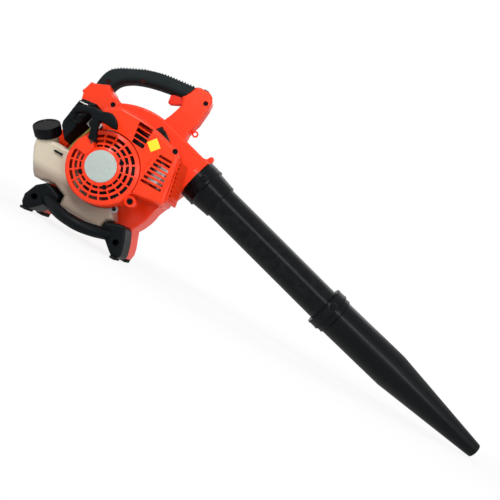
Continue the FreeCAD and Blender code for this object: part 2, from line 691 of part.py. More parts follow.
def starterReel():
    piece = body("starter_reel")
    turned(piece, [("post_radius + shaft_fit", "-reel_back"), ("reel_radius", "-reel_back"),
                   ("reel_radius", "-reel_back - 1.5"), ("reel_radius - 8", "-reel_back - 1.5"),
                   ("reel_radius - 8", "-reel_back - reel_width + 1.5"),
                   ("reel_radius", "-reel_back - reel_width + 1.5"),
                   ("reel_radius", "-reel_back - reel_width"),
                   ("post_radius + shaft_fit", "-reel_back - reel_width")], "V_Axis", "XY")


def emblemDisc():
    piece = body("emblem_disc")
    roundPad(piece, "disc_radius", "cone_face", "cone_face + disc_thick")
    rounded(piece, "0.7", at("cone_face + disc_thick"))


def starterHandle():
    """A T grip: a stem along the rope and a bowed bar across its top."""
    along = ropeDirection()
    seat = ropeSeat()
    radius = get("stem_radius")
    top = seat + along * get("stem_length")
    stem = Part.makeCone(radius + 1, radius, get("stem_length"), seat, along)
    side = V(math.cos(math.radians(get("rope_tilt"))), 0, math.sin(math.radians(get("rope_tilt"))))
    half = get("grip_bar")
    ends = [top - side * half - along * 9, top - side * half / 2 + along * 3, top + along * 5,
            top + side * half / 2 + along * 3, top + side * half - along * 9]
    bow = Part.BSplineCurve()
    bow.interpolate(ends)
    start = Part.Wire(Part.makeCircle(radius, ends[0], bow.tangent(bow.FirstParameter)[0]))
    bar = Part.Wire(bow.toShape()).makePipeShell([start], True, True)
    caps = [Part.makeSphere(radius, ends[0]), Part.makeSphere(radius, ends[-1])]
    rope = Part.makeCylinder(get("rope_radius"), get("rope_stub"),
                             seat - along * get("rope_stub"), along)
    solidAt("starter_handle", stem.fuse([bar] + caps).removeSplitter())
    solidAt("starter_rope", rope)


def ropeChannel():
    """The way of the rope through the guide and the cover, as a solid to cut away."""
    along = ropeDirection()
    length = get("rope_stub") + 4
    return Part.makeCylinder(get("rope_radius") + 1, length, ropeSeat() - along * length, along)


def ropeDirection():
    lean = math.radians(get("rope_lean"))
    tilt = math.radians(get("rope_tilt"))
    return V(-math.sin(tilt) * math.cos(lean), -math.sin(lean), math.cos(tilt) * math.cos(lean))


def ropeSeat():
    return V(get("rope_x"), -get("handle_depth") - 6, get("rope_z"))


# ---- engine cover, muffler guard ----

def engineCover():
    """The shroud: a rounded shell, open at its back and over the starter drum."""
    face = flatFace("cover")
    wall = get("cover_wall")
    depth = get("cover_face") - get("cover_back")
    outer, room = shellHalf(face, face.makeOffset2D(-wall), -1, depth, wall, get("cover_round"))
    shell = outer.cut(room)
    shell.translate(V(0, -get("cover_back"), 0))
    cutters = body("cover_cutters", None)
    cutters.AllowCompound = True
    vents = []
    for i in range(4):
        low = "vent_low + vent_pitch * %d" % i
        left = "vent_left + %g" % (5 - 1.6 * i)
        vents.append([(left, low + " + vent_rake"), ("vent_right", low),
                      ("vent_right", low + " + vent_height"),
                      (left, low + " + vent_height + vent_rake")])
    rows = []
    for i in range(7):
        low = "grille_low + grille_pitch * %d" % i
        left = "grille_left + %g" % (1.3 * i)
        right = "grille_right - %g" % (1.35 * i)
        rows.append(box(left, right, low, low + " + grille_height"))
    pad(cutters, vents + rows, "cover_face - 6", "cover_face + 1")
    roundPad(cutters, "drum_radius + 1", "cover_back - 1", "cover_face + 1",
             [("0", "0")])
    window = [box("-(cover_face - 8)", "-(cover_back + 8)", "6.4", "75.4")]
    pad(cutters, window, "104", "140", "YZ")
    intake = [box("-(crank_depth + 36)", "-(cover_back - 2)", "53.4", "109.4")]
    pad(cutters, intake, "-60", "-30", "YZ")
    pad(cutters, [box("26", "74", "95.4", "127.4")], "crank_depth - 14", "crank_depth + 14")
    plain = doc.addObject("Part::Feature", "CoverShell")
    plain.Shape = shell
    pierced = doc.addObject("Part::Cut", "PiercedCover")
    pierced.Base = plain
    pierced.Tool = cutters
    node("engine_cover", pierced, "machine")


def mufflerGuard():
    """A perforated plate that slants back from the cover's front ridge."""
    face = get("cover_face") - get("cover_round")
    low = V(get("cover_8_x") + 0.5, -face, get("cover_8_z") + 2)
    high = V(get("cover_7_x") + 1.5, -face, get("cover_7_z") - 4)
    back = V(low.x + 7, -get("cover_back") - 12, low.z + 9)
    down = (low - high).normalize()
    normal = down.cross(back - low).normalize()
    across = normal.cross(down)
    turn = FreeCAD.Rotation(down, across, normal, "XYZ")
    length = high.distanceToPoint(low)
    depth = (back - low).dot(across)
    thick = get("guard_thick")
    plate = Part.makeBox(length, abs(depth), thick)
    plate = plate.makeFillet(6, [e for e in plate.Edges if abs(e.tangentAt(0).z) > 0.9])
    holes = []
    for i in range(9):
        slot = Part.makeBox(get("guard_slot"), 12, thick + 2, V(4 + i * (length - 12) / 8, 4, -1))
        holes.append(slot)
    for row in range(3):
        for i in range(7):
            spot = V(8 + i * (length - 16) / 6, 24 + row * 11, -1)
            holes.append(Part.makeCylinder(get("guard_hole"), thick + 2, spot))
    plate = plate.cut(holes[0].fuse(holes[1:]))
    if normal.x < 0:
        raise ValueError("the guard faces inwards")
    plate.Placement = FreeCAD.Placement(high, turn)
    solidAt("muffler_guard", Part.makeCompound([plate]))


# ---- fuel tank ----

def capTurn():
    """The filler leans back from the tank and towards the starter side."""
    lean = math.radians(get("cap_lean"))
    turn = math.radians(get("cap_turn"))
    return V(-math.sin(lean) * math.cos(turn), -math.sin(turn), math.cos(lean) * math.cos(turn))


def fuelTank():
    outer = body("tank_block", None)
    pad(outer, [corners("tank")], "tank_back", "tank_front")
    rounded(outer, "tank_round", lambda e: at("tank_front")(e) or at("tank_back")(e))
    cutLoops(outer, [corners("cavity")], "tank_back + tank_wall", "tank_front - tank_wall")
    doc.recompute()
    axis = capTurn()
    seat = V(get("filler_x"), -get("filler_depth"), get("filler_z"))
    neck = Part.makeCylinder(get("neck_radius"), 22, seat - axis * 16, axis)
    bore = Part.makeCylinder(get("neck_radius") - 2.5, 40, seat - axis * 24, axis)
    drum = Part.makeCylinder(get("drum_radius") + 1, 60, V(0, -get("drum_back") + 1, 0),
                             V(0, -1, 0))
    shape = outer.Shape.fuse(neck).cut(bore)
    shape = shape.cut(drum)
    solidAt("fuel_tank", shape.removeSplitter())
    cap = Part.makeCylinder(get("cap_radius"), get("cap_height"), seat + axis * 1, axis)
    cap = cap.makeFillet(3, [e for e in cap.Edges if e.Length > 100])
    hollow = Part.makeCylinder(get("neck_radius") + get("gap"), 6, seat, axis)
    solidAt("fuel_cap", cap.cut(hollow))


# ---- stand ----

def tube(route, radius):
    """A round bar along straight runs joined by tangent arcs."""
    edges = []
    here = route[0]
    for before, corner, after in zip(route, route[1:], route[2:]):
        back = (before - corner).normalize()
        ahead = (after - corner).normalize()
        turn = math.pi - back.getAngle(ahead)
        run = 0.45 * min(before.distanceToPoint(corner), after.distanceToPoint(corner))
        start = corner + back * run
        end = corner + ahead * run
        bend = run / math.tan(turn / 2)
        middle = corner + (back + ahead).normalize() * (bend / math.cos(turn / 2) - bend)
        edges.append(Part.LineSegment(here, start).toShape())
        edges.append(Part.Arc(start, middle, end).toShape())
        here = end
    edges.append(Part.LineSegment(here, route[-1]).toShape())
    path = Part.Wire(edges)
    ring = Part.Wire(Part.makeCircle(radius, route[0], route[1] - route[0]))
    return path.makePipeShell([ring], True, False)


# The bow bar's way from one block to the other: x, depth, height over the ground
bowRoute = [(-80, 88, 41), (-56, 108, 34), (-25, 128, 26.5), (12, 134, 24.5), (40, 123, 29),
            (66, 92, 38)]


def stand():
    legs = []
    for outline in ("frontleg", "rearleg"):
        block = flatFace(outline).extrude(V(0, -(get("stand_front") - get("leg_half")), 0))
        block.translate(V(0, -get("leg_half"), 0))
        edges = outerEdges(block, -get("stand_front"))
        legs.append(block.makeFillet(get("stand_round"), edges))
    bow = tube([V(x, -y, z - get("crank_height")) for x, y, z in bowRoute],
               get("bow_radius"))
    shape = legs[0].fuse([legs[1], bow])
    for x, z, depth in standScrewSpots():
        shape = shape.cut(Part.makeCylinder(6, 30, V(x, -get("stand_front") - 1, z), V(0, 1, 0)))
        shape = shape.cut(Part.makeCylinder(get("screw_radius"), 80,
                                            V(x, -get("stand_front") - 1, z), V(0, 1, 0)))
    solidAt("stand", shape.removeSplitter())


def feet():
    """Rubber soles, one for each leg and one for each end of the stand."""
    ground = -get("crank_height")
    for name, near, far, height, inset in (("casing_feet", "-8", "34", "foot_height", "0"),
                                           ("stand_feet", "-stand_front + 1", "-62", "5", "1.5")):
        soles = []
        for left, right in (("leg_7_x", "leg_6_x"), ("hindleg_6_x", "hindleg_7_x")):
            width = get(right + " - " + left) - 2 * get(inset)
            corner = V(get(left) + get(inset), get(near), ground)
            sole = Part.makeBox(width, get(far) - get(near), get(height), corner)
            edges = [e for e in sole.Edges if e.CenterOfMass.z < ground + 0.1]
            soles.append(sole.makeFillet(1.5, edges))
        solidAt(name, Part.makeCompound(soles))


# ---- tubes ----

def tubes():
    collar = body("pipe_collar", "pipe")
    turned(collar, [("gap", "collar_bore"), ("gap", "collar_radius"),
                    ("collar_shoulder", "collar_radius"), ("collar_shoulder + 2", "40.5"),
                    ("collar_tail - 1", "37.5"), ("collar_tail", "36.5"),
                    ("collar_tail", "collar_bore")], "H_Axis", "XY")
    pipe = body("upper_pipe", "pipe")
    turned(pipe, [("gap", "pipe_radius - pipe_wall"), ("gap", "pipe_radius"),
                  ("pipe_length", "pipe_radius"),
                  ("pipe_length", "pipe_radius - pipe_wall")], "H_Axis", "XY")
    nozzle = body("nozzle", "nozzle")
    bore = "pipe_radius + 1"
    turned(nozzle, [("-22", bore), ("-22", "coupling_radius"), ("0", "coupling_radius"),
                    ("1", "41"), ("11", "41"), ("13", "sleeve_radius"),
                    ("taper_start - coupling_start - 22", "sleeve_radius"),
                    ("nozzle_end - coupling_start - 22 - tip_land", "tip_radius + 0.3"),
                    ("nozzle_end - coupling_start - 22", "tip_radius - 1"),
                    ("nozzle_end - coupling_start - 22", "tip_radius - nozzle_wall"),
                    ("nozzle_end - coupling_start - 22 - tip_land", "tip_radius - nozzle_wall"),
                    ("taper_start - coupling_start - 22", "sleeve_radius - nozzle_wall"),
                    ("26", "sleeve_radius - nozzle_wall"), ("26", bore)], "H_Axis", "XY")
    lock = body("nozzle_lock", "nozzle")
    roundPad(lock, "7", "coupling_radius", "coupling_radius + 3.5", [("-9", "10")])
    rounded(lock, "1.5", at("coupling_radius + 3.5"))
    button = body("collar_lock", "pipe")
    roundPad(button, "7", "collar_radius - 2", "collar_radius + 3", [("16", "8")])
    rounded(button, "1.5", at("collar_radius + 3"))


# ---- grip and controls ----

def through(*names):
    """The points of outlines one after another."""
    return [V(get(x), 0, get(z)) for name in names for x, z in corners(name)]


def gripHalf(name, side):
    top = Part.BSplineCurve()
    top.interpolate(through("grip_top"))
    under = Part.BSplineCurve()
    under.interpolate(through("grip_under"))
    front = [top.EndPoint] + through("grip_front") + [under.StartPoint]
    rear = [under.EndPoint] + through("grip_rear") + [top.StartPoint]
    edges = [top.toShape(), under.toShape()]
    for run in (front, rear):
        edges += [Part.LineSegment(a, b).toShape() for a, b in zip(run, run[1:])]
    half = get("grip_half")
    block = Part.Face(Part.Wire(Part.__sortEdges__(edges))).extrude(V(0, side * half, 0))
    long = [e for e in outerEdges(block, side * half) if e.Length > 60]
    block = block.makeFillet(get("grip_round"), long).cut(triggerRoom())
    for outline in ("heel", "post"):
        block = block.cut(flatFace(outline).extrude(V(0, side * 2 * half, 0)))
    if side < 0:
        block = block.cut(recesses(gripScrewSpots(), 10))
    solidAt(name, block)


def gripScrewSpots():
    half = get("grip_half")
    return [(get("rear_grip_screw_x"), get("rear_grip_screw_z"), half),
            (get("front_grip_screw_x"), get("front_grip_screw_z"), half)]


def trigger():
    piece = body("throttle_trigger")
    pad(piece, [corners("trigger")], "-trigger_half", "trigger_half")
    rounded(piece, "1.5", lambda e: at("trigger_half")(e) or at("-trigger_half")(e))
    cutRound(piece, "trigger_pin + shaft_fit", "-trigger_half - 1", "trigger_half + 1",
             [("trigger_x", "trigger_z")])
    rod = body("trigger_pin")
    roundPad(rod, "trigger_pin", "-post_half + housing_wall", "post_half - housing_wall",
             [("trigger_x", "trigger_z")])


def smallControls():
    switch = body("stop_switch")
    pad(switch, [box("64", "74", "post_12_z + gap", "post_12_z + 4")], "-5", "5")
    rounded(switch, "1", at("5"))
    lever = body("choke_lever")
    roundPad(lever, "6", "housing_half + 8", "filter_back - 3 - gap", [("choke_x", "choke_z")])
    pad(lever, [[("choke_x - 4", "choke_z"), ("choke_x - 13", "choke_z - 24"),
                 ("choke_x - 4", "choke_z - 24"), ("choke_x + 5", "choke_z")]],
        "housing_half + 8", "filter_back - 3 - gap")
    pivot = body("choke_pivot")
    roundPad(pivot, "3", "housing_half + 7", "filter_back - 3", [("choke_x", "choke_z")])
    cutRound(lever, "3 + shaft_fit", "housing_half + 7", "filter_back", [("choke_x", "choke_z")])
    half = get("ring_half")
    centre = V(get("ring_x"), -half, get("ring_z"))
    ring = Part.makeCylinder(get("ring_radius"), 2 * half, centre, V(0, 1, 0))
    tab = Part.makeBox(10, 2 * half, 5, centre - V(9.5, 0, 2.5))
    bore = Part.makeCylinder(get("ring_bore"), 2 * half + 2, centre - V(0, 1, 0), V(0, 1, 0))
    post = flatFace("post")
    post.translate(V(0, -2 * half, 0))
    solidAt("strap_ring", ring.fuse(tab).cut([bore, post.extrude(V(0, 4 * half, 0))]))


def screws(name, spots, head, length, sunk):
    """Screws along Y, each sunk into its bore, with a cross recess."""
    made = []
    for x, z, surface in spots:
        depth = surface - sunk
        start = V(x, -depth + 1, z)
        screw = Part.makeCylinder(head - get("shaft_fit"), length, start, V(0, 1, 0))
        for wide, high in ((1.2, head * 1.3), (head * 1.3, 1.2)):
            corner = V(x - wide / 2, -depth + 0.9, z - high / 2)
            screw = screw.cut(Part.makeBox(wide, 1.6, high, corner))
        made.append(screw)
    solidAt(name, Part.makeCompound(made))


def allScrews():
    radius = get("screw_radius")
    deep = get("recess_depth")
    screws("handle_screws", handleScrewSpots(), radius, 12, deep)
    screws("grip_screws", gripScrewSpots(), radius, 4, deep)
    seat = get("stand_front") - 28
    screws("stand_screws", [(x, z, seat) for x, z, depth in standScrewSpots()], radius,
           seat - get("leg_half") + 10, 0)
    spot = V(get("tank_bolt_x"), -get("tank_front"), get("tank_bolt_z"))
    bolt = Part.makeCylinder(3.6, 3.5, spot - V(0, 3.5, 0), V(0, 1, 0))
    plate = Part.makeCylinder(7, 1.5, spot - V(0, 1.5, 0), V(0, 1, 0))
    hollow = Part.makeCylinder(1.8, 2, spot - V(0, 4, 0), V(0, 1, 0))
    drum = Part.makeCylinder(get("drum_radius") + 1, 10, V(0, spot.y - 8, 0), V(0, 1, 0))
    solidAt("tank_bolt", bolt.fuse(plate).cut([hollow, drum]))


def fuelLine():
    """The hose from the tank's top to the underside of the primer."""
    route = [V(-86, -78, 1.4), V(-84, -79, 13.4), V(-79, -81, 27.4), V(-72, -84, 41.4),
             V(-67.5, -85, 55.4)]
    solidAt("fuel_line", tube(route, get("line_radius")))


def centre():
    """Move the whole machine so that its footprint's middle is the origin."""
    doc.recompute()
    whole = FreeCAD.BoundBox()
    for item in nodes.values():
        whole.add(item.Shape.BoundBox)
    rows = list(known)
    sheet.set("B%d" % (rows.index("step_x") + 1), str(round(-whole.Center.x, 3)))
    sheet.set("B%d" % (rows.index("step_y") + 1), str(round(-whole.Center.y, 3)))
    doc.recompute()


def write():
    os.makedirs("parts", exist_ok=True)
    for item in doc.Objects:
        if {"Invalid", "Error"} & set(item.State):
            raise ValueError("%s did not build: %s" % (item.Label, item.State))
    for name, item in nodes.items():
        shape = item.Shape
        if shape.isNull() or not shape.isValid() or not shape.Solids:
            raise ValueError(name + " is not a sound solid")
    for name, item in nodes.items():
        item.Shape.exportStep("parts/%s.step" % name)


housingHalf("fan_housing_near", -1)
housingHalf("fan_housing_far", 1)
intakeGuard()
fanImpeller()
crankcase()
mainBearings()
crankshaft()
flywheel()
cylinder()
pistonAndRod()
sparkPlug()
muffler()
carburettor()
airFilter()
ignitionCoil()
starterHousing()
starterReel()
emblemDisc()
starterHandle()
engineCover()
mufflerGuard()
fuelTank()
stand()
feet()
tubes()
gripHalf("grip_near", -1)
gripHalf("grip_far", 1)
trigger()
smallControls()
allScrews()
fuelLine()
centre()
write()
print("pieces", len(nodes), "step", get("step_x"), get("step_y"))
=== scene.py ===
import bpy
import json
import math
from mathutils import Matrix, Vector


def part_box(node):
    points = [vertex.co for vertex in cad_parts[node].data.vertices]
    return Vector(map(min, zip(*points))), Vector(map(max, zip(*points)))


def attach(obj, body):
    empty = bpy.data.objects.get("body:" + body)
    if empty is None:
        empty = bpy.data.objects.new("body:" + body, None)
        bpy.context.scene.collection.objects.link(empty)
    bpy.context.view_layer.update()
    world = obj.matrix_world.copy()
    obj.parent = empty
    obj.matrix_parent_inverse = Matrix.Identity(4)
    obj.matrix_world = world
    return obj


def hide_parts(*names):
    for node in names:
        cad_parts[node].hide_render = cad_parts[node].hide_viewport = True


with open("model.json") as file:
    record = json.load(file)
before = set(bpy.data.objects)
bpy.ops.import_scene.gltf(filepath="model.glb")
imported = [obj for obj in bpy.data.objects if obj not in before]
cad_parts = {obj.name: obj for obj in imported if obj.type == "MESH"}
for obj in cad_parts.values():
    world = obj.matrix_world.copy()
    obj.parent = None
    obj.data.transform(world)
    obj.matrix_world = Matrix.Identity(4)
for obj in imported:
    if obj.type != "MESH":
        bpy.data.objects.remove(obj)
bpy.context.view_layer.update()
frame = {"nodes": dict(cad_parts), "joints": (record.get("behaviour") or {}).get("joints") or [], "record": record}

mm = 0.001
white = (1, 1, 1, 1)

# The crank axis and the plane where the housing halves meet are the references:
# x and y run from there, z from the ground, all in millimetres.
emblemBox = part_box("emblem_disc")
crankX = (emblemBox[0].x + emblemBox[1].x) / 2
crankZ = (emblemBox[0].z + emblemBox[1].z) / 2
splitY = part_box("fan_housing_near")[1].y


def spot(x, y, z):
    return Vector((crankX + x * mm, splitY + y * mm, z * mm))


studio = {
    "cameraPlace": (335.7, -1300, 84.2), "roll": 29.6, "lens": 46.8, "sensor": 36, "shift": 0.07,
    "lamps": {
        "strip": {"place": (450, -1250, 660), "power": 10, "length": 2.4, "width": 0.22},
        "key": {"place": (-450, -1400, 1250), "power": 9, "length": 0.3, "width": 0.3},
        "fill": {"place": (1500, -1300, 500), "power": 4, "length": 1.5, "width": 1.5},
        "back": {"place": (500, 1300, 1300), "power": 14, "length": 1.5, "width": 1.5},
    },
    "lampAim": (330, 0, 150), "lampAlong": (0.964, 0, -0.265),
    "skyColour": (0.94, 0.96, 1, 1), "skyStrength": 0.42,
    "floorSize": 12, "floorDrop": 0.0002, "floorPaint": (0.9, 0.9, 0.9, 1), "floorRough": 0.9,
    "floorGlow": 0.86, "glowNear": 0.55, "glowFar": 1.3,  # metres from the origin
}


def makeCamera():
    bpy.ops.object.camera_add(location=spot(*studio["cameraPlace"]))
    camera = bpy.context.object
    roll = math.radians(studio["roll"])
    right = Vector((math.cos(roll), 0, math.sin(roll)))
    up = Vector((-math.sin(roll), 0, math.cos(roll)))
    back = Vector((0, -1, 0))
    camera.rotation_euler = Matrix((right, up, back)).transposed().to_euler()
    camera.data.lens = studio["lens"]
    camera.data.sensor_width = studio["sensor"]
    camera.data.shift_y = studio["shift"]
    bpy.context.scene.camera = camera


# every lamp faces the machine, its long side along the pipe
def makeLamp(name):
    made = studio["lamps"][name]
    place = spot(*made["place"])
    away = (place - spot(*studio["lampAim"])).normalized()
    upward = away.cross(Vector(studio["lampAlong"])).normalized()
    along = upward.cross(away)
    bpy.ops.object.light_add(type="AREA", location=place)
    lamp = bpy.context.object
    lamp.rotation_euler = Matrix((along, upward, away)).transposed().to_euler()
    lamp.name = name + "Lamp"
    lamp.data.shape = "RECTANGLE"
    lamp.data.energy = made["power"]
    lamp.data.size = made["length"]
    lamp.data.size_y = made["width"]


def setInputs(node, values):
    for label, value in values.items():
        node.inputs[label].default_value = value


def newMaterial(name):
    material = bpy.data.materials.new(name)
    material.use_nodes = True
    nodes, links = material.node_tree.nodes, material.node_tree.links
    return material, nodes, links, nodes["Principled BSDF"]


def calculate(nodes, links, operation, first, second):
    node = nodes.new("ShaderNodeMath")
    node.operation = operation
    links.new(first, node.inputs[0])
    links.new(second, node.inputs[1])
    return node.outputs[0]


def mapRange(nodes, links, value, low, high, toLow=0.0, toHigh=1.0):
    node = nodes.new("ShaderNodeMapRange")
    setInputs(node, {"From Min": low, "From Max": high, "To Min": toLow, "To Max": toHigh})
    links.new(value, node.inputs["Value"])
    return node.outputs[0]


# one for camera, glossy and transmission rays, nought for light that falls on things
def seenDirectly(nodes, links):
    path = nodes.new("ShaderNodeLightPath")
    seen = calculate(nodes, links, "MAXIMUM", path.outputs["Is Camera Ray"],
                     path.outputs["Is Glossy Ray"])
    return calculate(nodes, links, "MAXIMUM", seen, path.outputs["Is Transmission Ray"])


def mixShaders(nodes, links, factor, first, second, end):
    mix = nodes.new("ShaderNodeMixShader")
    links.new(factor, mix.inputs[0])
    links.new(first.outputs[0], mix.inputs[1])
    links.new(second.outputs[0], mix.inputs[2])
    links.new(mix.outputs[0], end.inputs["Surface"])


def makeWorld():
    world = bpy.data.worlds.new("studio")
    bpy.context.scene.world = world
    world.use_nodes = True
    nodes, links = world.node_tree.nodes, world.node_tree.links
    sky = nodes["Background"]
    setInputs(sky, {"Color": studio["skyColour"], "Strength": studio["skyStrength"]})
    backdrop = nodes.new("ShaderNodeBackground")
    setInputs(backdrop, {"Color": white})
    mixShaders(nodes, links, seenDirectly(nodes, links), sky, backdrop, nodes["World Output"])


# The floor glows white where it is seen directly, fully so away from the machine,
# and keeps a share of its lit paint near it for the shadow.
def makeFloor():
    bpy.ops.mesh.primitive_plane_add(size=studio["floorSize"],
                                     location=(0, 0, -studio["floorDrop"]))
    floor = bpy.context.object
    floor.name = "floor"
    material, nodes, links, paint = newMaterial("paleFloor")
    setInputs(paint, {"Base Color": studio["floorPaint"], "Roughness": studio["floorRough"],
                      "Specular IOR Level": 0})
    glow = nodes.new("ShaderNodeEmission")
    setInputs(glow, {"Color": white})
    where = nodes.new("ShaderNodeTexCoord")
    distance = nodes.new("ShaderNodeVectorMath")
    distance.operation = "LENGTH"
    links.new(where.outputs["Object"], distance.inputs[0])
    share = mapRange(nodes, links, distance.outputs["Value"], studio["glowNear"],
                     studio["glowFar"], studio["floorGlow"], 1)
    factor = calculate(nodes, links, "MULTIPLY", seenDirectly(nodes, links), share)
    mixShaders(nodes, links, factor, paint, glow, nodes["Material Output"])
    floor.data.materials.append(material)


bpy.ops.object.select_all(action="DESELECT")
makeCamera()
makeFloor()
for lampName in studio["lamps"]:
    makeLamp(lampName)
makeWorld()
bpy.context.scene.view_settings.view_transform = "Standard"
print("camera, floor and lights are set")

colourKind, floatKind = "NodeSocketColor", "NodeSocketFloat"


def newGroup(name, inputs, outputs):
    tree = bpy.data.node_groups.new(name, "ShaderNodeTree")
    for label, kind, value in inputs:
        socket = tree.interface.new_socket(name=label, in_out="INPUT", socket_type=kind)
        socket.default_value = value
    for label, kind in outputs:
        tree.interface.new_socket(name=label, in_out="OUTPUT", socket_type=kind)
    start = tree.nodes.new("NodeGroupInput")
    end = tree.nodes.new("NodeGroupOutput")
    return tree, tree.nodes, tree.links, start, end


# the scale is a number, or a socket that another node feeds
def addNoise(nodes, links, scale, detail, rough=0.55):
    where = nodes.new("ShaderNodeTexCoord")
    noise = nodes.new("ShaderNodeTexNoise")
    setInputs(noise, {"Detail": detail, "Roughness": rough})
    links.new(where.outputs["Object"], noise.inputs["Vector"])
    if isinstance(scale, (int, float)):
        noise.inputs["Scale"].default_value = scale
    else:
        links.new(scale, noise.inputs["Scale"])
    return noise.outputs["Fac"]


def mixColour(nodes, links, factor, first, second):
    node = nodes.new("ShaderNodeMix")
    node.data_type = "RGBA"
    links.new(factor, node.inputs["Factor"])
    colours = [socket for socket in node.inputs if socket.type == "RGBA"]
    for socket, value in zip(colours, (first, second)):
        if isinstance(value, tuple):
            socket.default_value = value
        else:
            links.new(value, socket)
    return [socket for socket in node.outputs if socket.type == "RGBA"][0]


mouldLook = {"slowScale": 14, "slowDetail": 3, "slowRange": (0.3, 0.7), "fineDetail": 2,
             "darkest": 0.78, "roughRange": (0.85, 1.2)}


# moulded plastic: a slow drift of the shade and a fine skin
def buildMouldGroup():
    made = mouldLook
    tree, nodes, links, start, end = newGroup(
        "mouldedSkin",
        [("Colour", colourKind, white), ("Drift", floatKind, 0.1),
         ("Skin Scale", floatKind, 900.0), ("Roughness", floatKind, 0.3)],
        [("Colour", colourKind), ("Roughness", floatKind), ("Height", floatKind)])
    slow = addNoise(nodes, links, made["slowScale"], made["slowDetail"])
    fine = addNoise(nodes, links, start.outputs["Skin Scale"], made["fineDetail"])
    darker = nodes.new("ShaderNodeHueSaturation")
    setInputs(darker, {"Value": made["darkest"]})
    links.new(start.outputs["Colour"], darker.inputs["Color"])
    shade = mapRange(nodes, links, slow, *made["slowRange"])
    factor = calculate(nodes, links, "MULTIPLY", shade, start.outputs["Drift"])
    links.new(mixColour(nodes, links, factor, start.outputs["Colour"],
                        darker.outputs["Color"]), end.inputs["Colour"])
    wander = mapRange(nodes, links, slow, *made["slowRange"], *made["roughRange"])
    links.new(calculate(nodes, links, "MULTIPLY", start.outputs["Roughness"], wander),
              end.inputs["Roughness"])
    links.new(fine, end.inputs["Height"])
    return tree


# ranges are where each mask fades in; patches are scale, detail and roughness of the noise
wearLook = {"label": "Worn Colour", "colour": white, "amount": 0.3, "range": (0.53, 0.62),
            "patches": (60, 4, 0.65), "patchRange": (0.45, 0.6)}
dustLook = {"label": "Dust Colour", "colour": (0.6, 0.55, 0.5, 1), "amount": 0.1,
            "range": (0.2, 1.0), "patches": (25, 5, 0.6), "patchRange": (0.35, 0.7)}


def edgeMask(nodes, links):
    return nodes.new("ShaderNodeNewGeometry").outputs["Pointiness"]


def upwardMask(nodes, links):
    split = nodes.new("ShaderNodeSeparateXYZ")
    geometry = nodes.new("ShaderNodeNewGeometry")
    links.new(geometry.outputs["Normal"], split.inputs[0])
    return split.outputs["Z"]


# a second colour laid over the first in patches: rubbed edges, or dust on what faces up
def buildVeilGroup(name, made, findMask):
    tree, nodes, links, start, end = newGroup(
        name,
        [("Colour", colourKind, white), (made["label"], colourKind, made["colour"]),
         ("Amount", floatKind, made["amount"])],
        [("Colour", colourKind)])
    where = mapRange(nodes, links, findMask(nodes, links), *made["range"])
    patchy = mapRange(nodes, links, addNoise(nodes, links, *made["patches"]),
                      *made["patchRange"])
    mask = calculate(nodes, links, "MULTIPLY", where, patchy)
    mask = calculate(nodes, links, "MULTIPLY", mask, start.outputs["Amount"])
    links.new(mixColour(nodes, links, mask, start.outputs["Colour"],
                        start.outputs[made["label"]]), end.inputs["Colour"])
    return tree


mouldGroup = buildMouldGroup()
wearGroup = buildVeilGroup("edgeWear", wearLook, edgeMask)
dustGroup = buildVeilGroup("dustVeil", dustLook, upwardMask)
print("moulded skin, edge wear and dust are built")


def putGroup(nodes, tree, values):
    node = nodes.new("ShaderNodeGroup")
    node.node_tree = tree
    setInputs(node, values)
    return node


def addRelief(nodes, links, shader, height, strength, distance):
    relief = nodes.new("ShaderNodeBump")
    setInputs(relief, {"Strength": strength, "Distance": distance})
    links.new(height, relief.inputs["Height"])
    links.new(relief.outputs["Normal"], shader.inputs["Normal"])


